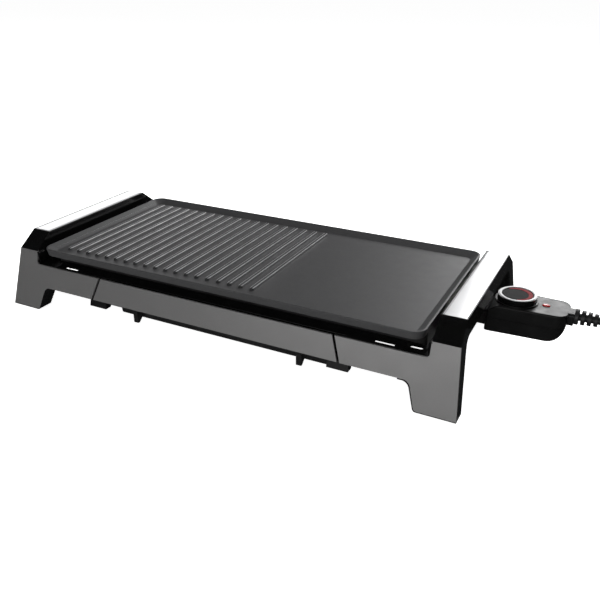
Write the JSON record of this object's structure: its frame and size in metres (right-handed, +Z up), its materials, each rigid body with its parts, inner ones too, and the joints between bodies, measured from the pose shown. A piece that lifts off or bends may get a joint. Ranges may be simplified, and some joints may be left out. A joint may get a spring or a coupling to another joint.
{
  "type": "electric griddle",
  "caption": "Low table griddle with a half ribbed, half flat plate between bridge-shaped end units, a pull-out drip tray and a plug-in thermostat with a round dial.",
  "frame": {"origin": "on the table, under the centre of the cooking plate", "axes": "+X towards the thermostat, -Y to the front where the drip tray comes out, +Z up"},
  "size_m": [0.8439, 0.2794, 0.093],
  "materials": {
    "black_plastic": "satin black moulded plastic",
    "gloss_black": "gloss black plastic",
    "grey_panel": "satin metallic grey paint",
    "top_aluminium": "brushed aluminium",
    "nonstick": "dark non-stick coating on cast aluminium",
    "pan_steel": "dark enamelled steel sheet",
    "heater_steel": "stainless heater sheath, heat darkened",
    "plain_steel": "zinc plated steel",
    "contact_brass": "brass",
    "ceramic": "white steatite ceramic",
    "foot_rubber": "matte black rubber",
    "tray_black": "black coated steel sheet",
    "ring_silver": "satin chrome",
    "dial_black": "gloss black dial face",
    "lens_red": "translucent red",
    "lamp_glass": "clear glass",
    "cord_rubber": "matte black cord sheath",
    "inner_plastic": "heat resistant moulding"
  },
  "bodies": {
    "base": {"left_end_housing": "gloss_black", "right_end_housing": "gloss_black", "left_top_strip": "top_aluminium", "right_top_strip": "top_aluminium", "left_front_panel": "grey_panel", "right_front_panel": "grey_panel", "left_rear_panel": "grey_panel", "right_rear_panel": "grey_panel", "rear_centre_panel": "grey_panel", "front_rail": "black_plastic", "rear_rail": "black_plastic", "left_tray_runner": "black_plastic", "right_tray_runner": "black_plastic", "rubber_feet": "foot_rubber", "runner_screws": "plain_steel", "pan_screws": "plain_steel", "reflector_pan": "pan_steel", "plate_rest_pads": "ceramic", "heating_element": "heater_steel", "element_clamps": "plain_steel", "terminal_block": "ceramic", "terminal_pins": "plain_steel", "terminal_guard": "plain_steel", "earth_strap": "contact_brass"},
    "plate": {"cooking_plate": "nonstick"},
    "tray": {"drip_tray": "tray_black", "tray_front_carrier": "black_plastic", "tray_front_panel": "grey_panel", "tray_screws": "plain_steel"},
    "thermostat": {"controller_upper_shell": "black_plastic", "controller_lower_shell": "black_plastic", "shell_screws": "plain_steel", "sensing_probe": "plain_steel", "socket_contacts": "contact_brass", "contact_carrier": "inner_plastic", "thermostat_frame": "plain_steel", "bimetal_blade": "contact_brass", "contact_blade": "contact_brass", "contact_points": "contact_brass", "internal_leads": "cord_rubber", "neon_lamp": "lamp_glass", "indicator_lens": "lens_red", "cord_clamp": "inner_plastic", "strain_relief": "cord_rubber", "mains_lead": "cord_rubber", "mains_lead_tail": "cord_rubber", "lead_coil": "cord_rubber", "coil_tie": "inner_plastic", "plug_body": "cord_rubber", "plug_pins": "plain_steel", "plug_earth_contacts": "plain_steel"},
    "dial": {"dial_knob": "gloss_black", "dial_ring": "ring_silver", "dial_insert": "dial_black", "dial_spindle": "inner_plastic"}
  },
  "joints": [
    {"name": "plate_lift", "type": "slide", "parent": "base", "child": "plate", "axis": [0, 0, 1], "range_m": [0, 0.06]},
    {"name": "tray_slide", "type": "slide", "parent": "base", "child": "tray", "axis": [0, -1, 0], "range_m": [0, 0.2]},
    {"name": "thermostat_unplug", "type": "slide", "parent": "base", "child": "thermostat", "axis": [1, 0, 0], "range_m": [0, 0.14]},
    {"name": "dial_turn", "type": "hinge", "parent": "thermostat", "child": "dial", "pos_m": [0.3178, 0, 0.084], "axis": [0, 0, 1], "range_deg": [-270, 0]}
  ]
}
